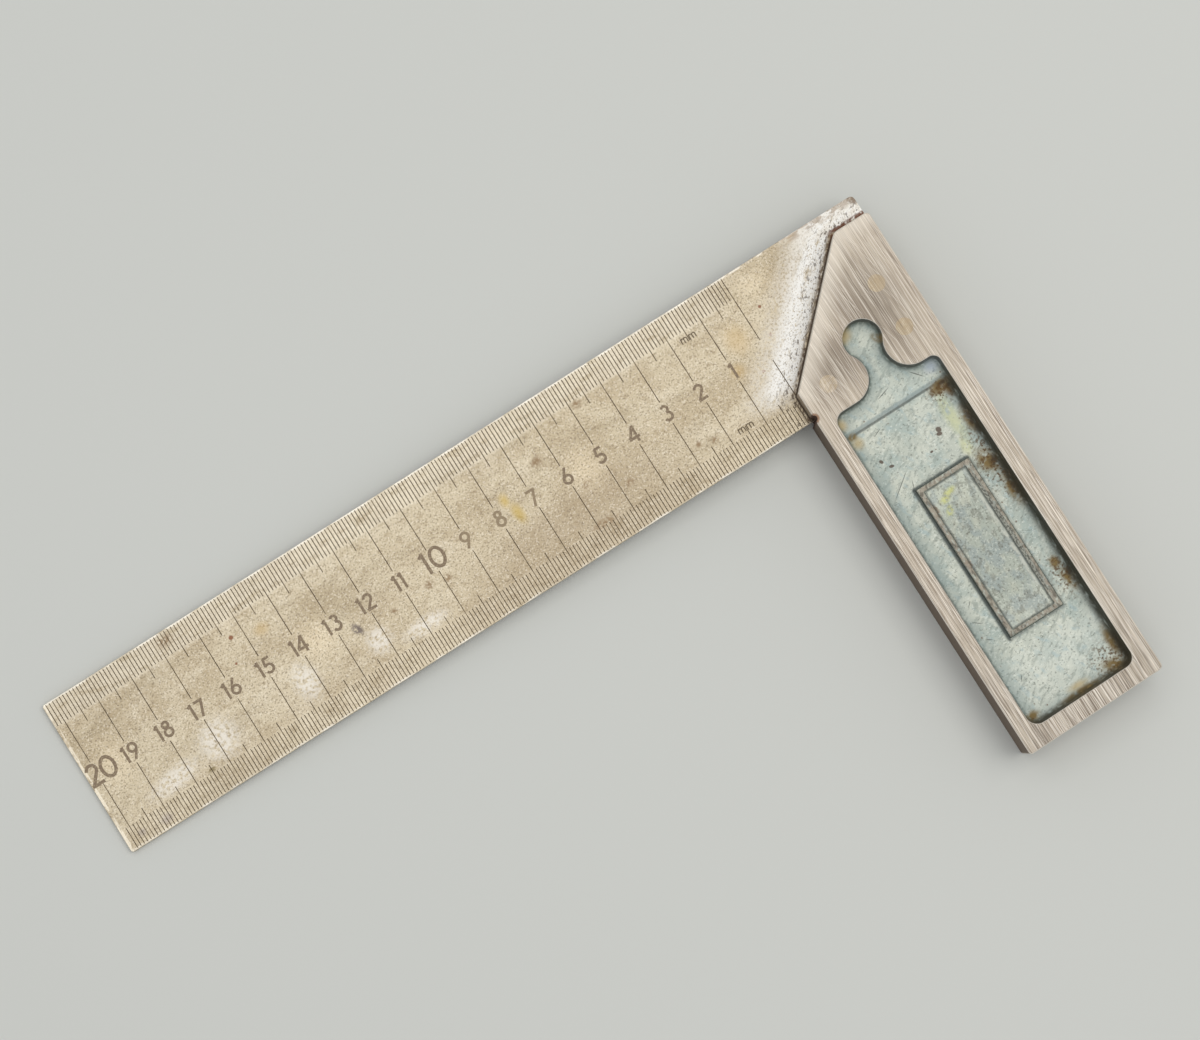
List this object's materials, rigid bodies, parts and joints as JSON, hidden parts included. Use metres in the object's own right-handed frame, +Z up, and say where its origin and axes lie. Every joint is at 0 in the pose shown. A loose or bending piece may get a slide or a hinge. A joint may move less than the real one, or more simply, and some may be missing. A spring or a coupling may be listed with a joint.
{
  "type": "carpenter square",
  "caption": "Try-and-mitre square: a graduated steel blade held by rivets in a slotted cast iron stock with a 45 degree mitre corner and recessed sides.",
  "frame": {"origin": "inside corner of the square, where the line of the blade's inner edge meets the stock's working face, in the plane of the broad side that it lies on", "axes": "+X along the blade towards its tip, +Y down the stock towards its toe, +Z up out of the side that carries the figures"},
  "size_m": [0.2427, 0.143, 0.016],
  "materials": {
    "stock": "ground faces with age and fine scratches, recesses in worn pale blue-green paint",
    "blade": "ground, aged to a warm grey, with light rust beside the stock",
    "rivets": "ground flush and dulled"
  },
  "bodies": {
    "root": {"stock": "stock", "blade": "blade", "rivet_nose": "rivets", "rivet_heel": "rivets", "rivet_corner": "rivets"}
  },
  "joints": []
}
